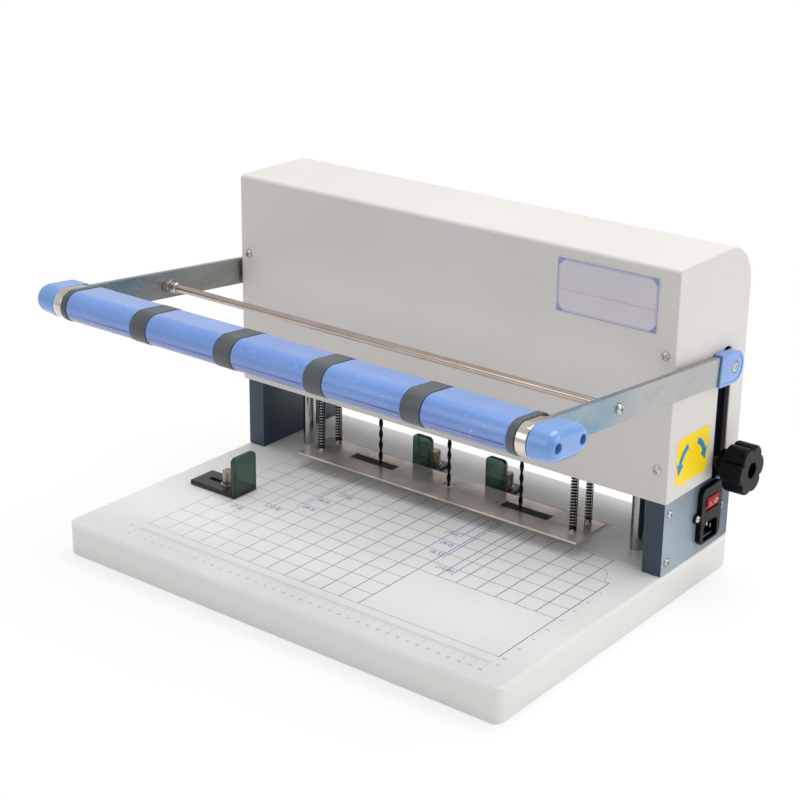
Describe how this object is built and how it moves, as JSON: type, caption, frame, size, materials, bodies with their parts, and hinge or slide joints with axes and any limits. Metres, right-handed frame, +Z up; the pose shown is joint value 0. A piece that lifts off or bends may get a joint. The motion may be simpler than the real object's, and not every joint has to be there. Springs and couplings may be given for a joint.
{
  "type": "drill binding machine",
  "caption": "Bench paper drilling and binding machine: ruled base board, hooded drill head on guide columns, swing-down lever handle, pressure plate and paper gauges.",
  "frame": {"origin": "centre of the base board's flat underside", "axes": "+X is the operator's right, the side with the star knob and the power inlet; -Y is towards the operator; +Z is up"},
  "size_m": [0.5375, 0.356, 0.304],
  "materials": {
    "board_white": "satin white laminate with printed grid",
    "strip_plastic": "cut-resistant plastic",
    "slate_paint": "satin dark slate paint",
    "chrome_bar": "polished",
    "steel": "turned steel",
    "cover_paint": "satin white powder coat",
    "black_plastic": "satin black",
    "rocker_red": "gloss red",
    "zinc_steel": "zinc-plated",
    "blue_plastic": "gloss periwinkle blue",
    "grey_plastic": "satin grey",
    "milled_aluminium": "milled",
    "motor_can": "plated can",
    "black_steel": "black oxide",
    "mirror_steel": "mirror-polished stainless",
    "spring_steel": "oiled spring wire",
    "smoke_acrylic": "smoke-green acrylic",
    "brass_part": "turned and knurled"
  },
  "bodies": {
    "frame": {"base_board": "board_white", "cutting_strip": "strip_plastic", "left_pillar": "slate_paint", "right_pillar": "slate_paint", "left_guide_column": "chrome_bar", "right_guide_column": "chrome_bar", "top_beam": "steel", "housing_cover": "cover_paint", "power_inlet": "black_plastic"},
    "rocker": {"rocker_switch": "rocker_red"},
    "lever": {"left_lever_arm": "zinc_steel", "right_lever_arm": "zinc_steel", "left_arm_cap": "blue_plastic", "right_arm_cap": "blue_plastic", "left_crank": "steel", "right_crank": "steel", "cross_rod": "chrome_bar", "handle_grip": "blue_plastic", "grip_band_1": "grey_plastic", "grip_band_2": "grey_plastic", "grip_band_3": "grey_plastic", "grip_band_4": "grey_plastic", "left_end_band": "grey_plastic", "right_end_band": "grey_plastic", "left_end_cap": "blue_plastic", "right_end_cap": "blue_plastic"},
    "carriage": {"carriage_plate": "milled_aluminium", "left_guide_bush": "brass_part", "right_guide_bush": "brass_part", "centre_bracket": "milled_aluminium", "centre_motor": "motor_can", "left_return_spring": "spring_steel", "right_return_spring": "spring_steel"},
    "centre_drill": {"centre_spindle": "steel", "centre_drill_bit": "black_steel"},
    "left_unit": {"left_bracket": "milled_aluminium", "left_motor": "motor_can"},
    "left_drill": {"left_spindle": "steel", "left_drill_bit": "black_steel"},
    "right_unit": {"right_bracket": "milled_aluminium", "right_motor": "motor_can"},
    "right_drill": {"right_spindle": "steel", "right_drill_bit": "black_steel"},
    "pitch_drive": {"pitch_screw": "steel", "pitch_knob": "black_plastic"},
    "clamp": {"pressure_plate": "mirror_steel", "left_front_guide_rod": "chrome_bar", "left_rear_guide_rod": "chrome_bar", "right_front_guide_rod": "chrome_bar", "right_rear_guide_rod": "chrome_bar", "left_front_spring": "spring_steel", "left_rear_spring": "spring_steel", "right_front_spring": "spring_steel", "right_rear_spring": "spring_steel"},
    "side_stop": {"side_gauge": "smoke_acrylic"},
    "left_back_stop": {"left_back_gauge": "smoke_acrylic"},
    "right_back_stop": {"right_back_gauge": "smoke_acrylic"},
    "side_stop_screw": {"side_gauge_screw": "brass_part"},
    "left_back_stop_screw": {"left_back_gauge_screw": "brass_part"},
    "right_back_stop_screw": {"right_back_gauge_screw": "brass_part"}
  },
  "joints": [
    {"name": "lever_swing", "type": "hinge", "parent": "frame", "child": "lever", "pos_m": [0, 0.1435, 0.2005], "axis": [1, 0, 0], "range_deg": [0, 30], "stiffness_Nm_per_rad": 4, "springref_deg": -85.94},
    {"name": "carriage_slide", "type": "slide", "parent": "frame", "child": "carriage", "axis": [0, 0, 1], "range_m": [-0.0127, 0], "stiffness_N_per_m": 350, "springref_m": 0.12, "deforming": ["left_return_spring", "right_return_spring"]},
    {"name": "plate_slide", "type": "slide", "parent": "carriage", "child": "clamp", "axis": [0, 0, 1], "range_m": [0, 0.0127], "stiffness_N_per_m": 400, "springref_m": -0.03, "deforming": ["left_front_spring", "left_rear_spring", "right_front_spring", "right_rear_spring"]},
    {"name": "centre_spindle_spin", "type": "hinge", "parent": "carriage", "child": "centre_drill", "pos_m": [0, 0.074, 0.1], "axis": [0, 0, 1], "continuous": true},
    {"name": "left_spindle_spin", "type": "hinge", "parent": "left_unit", "child": "left_drill", "pos_m": [-0.08, 0.074, 0.1], "axis": [0, 0, 1], "continuous": true},
    {"name": "right_spindle_spin", "type": "hinge", "parent": "right_unit", "child": "right_drill", "pos_m": [0.08, 0.074, 0.1], "axis": [0, 0, 1], "continuous": true},
    {"name": "pitch_knob_turn", "type": "hinge", "parent": "carriage", "child": "pitch_drive", "pos_m": [0.25, 0.1435, 0.112], "axis": [1, 0, 0], "range_deg": [-1080, 2016]},
    {"name": "right_unit_slide", "type": "slide", "parent": "carriage", "child": "right_unit", "axis": [1, 0, 0], "range_m": [-0.015, 0.028]},
    {"name": "left_unit_slide", "type": "slide", "parent": "carriage", "child": "left_unit", "axis": [1, 0, 0], "range_m": [-0.028, 0.015]},
    {"name": "rocker_tilt", "type": "hinge", "parent": "frame", "child": "rocker", "pos_m": [0.237, 0.134, 0.078], "axis": [0, 1, 0], "range_deg": [-16, 0]},
    {"name": "side_gauge_slide", "type": "slide", "parent": "frame", "child": "side_stop", "axis": [1, 0, 0], "range_m": [-0.005, 0.021]},
    {"name": "left_back_gauge_slide", "type": "slide", "parent": "frame", "child": "left_back_stop", "axis": [0, 1, 0], "range_m": [-0.002, 0.01]},
    {"name": "right_back_gauge_slide", "type": "slide", "parent": "frame", "child": "right_back_stop", "axis": [0, 1, 0], "range_m": [-0.002, 0.01]},
    {"name": "side_gauge_screw_turn", "type": "hinge", "parent": "frame", "child": "side_stop_screw", "pos_m": [-0.172, -0.0365, 0.04], "axis": [0, 0, 1], "range_deg": [0, 720]},
    {"name": "left_back_gauge_screw_turn", "type": "hinge", "parent": "frame", "child": "left_back_stop_screw", "pos_m": [-0.054, 0.1245, 0.04], "axis": [0, 0, 1], "range_deg": [0, 720]},
    {"name": "right_back_gauge_screw_turn", "type": "hinge", "parent": "frame", "child": "right_back_stop_screw", "pos_m": [0.031, 0.1245, 0.04], "axis": [0, 0, 1], "range_deg": [0, 720]}
  ],
  "couplings": [
    {"joint": "carriage_slide", "follows": "lever_swing", "m_per_rad": -0.024255},
    {"joint": "left_unit_slide", "follows": "right_unit_slide", "ratio": -1},
    {"joint": "pitch_knob_turn", "follows": "right_unit_slide", "rad_per_m": 1256.6}
  ]
}
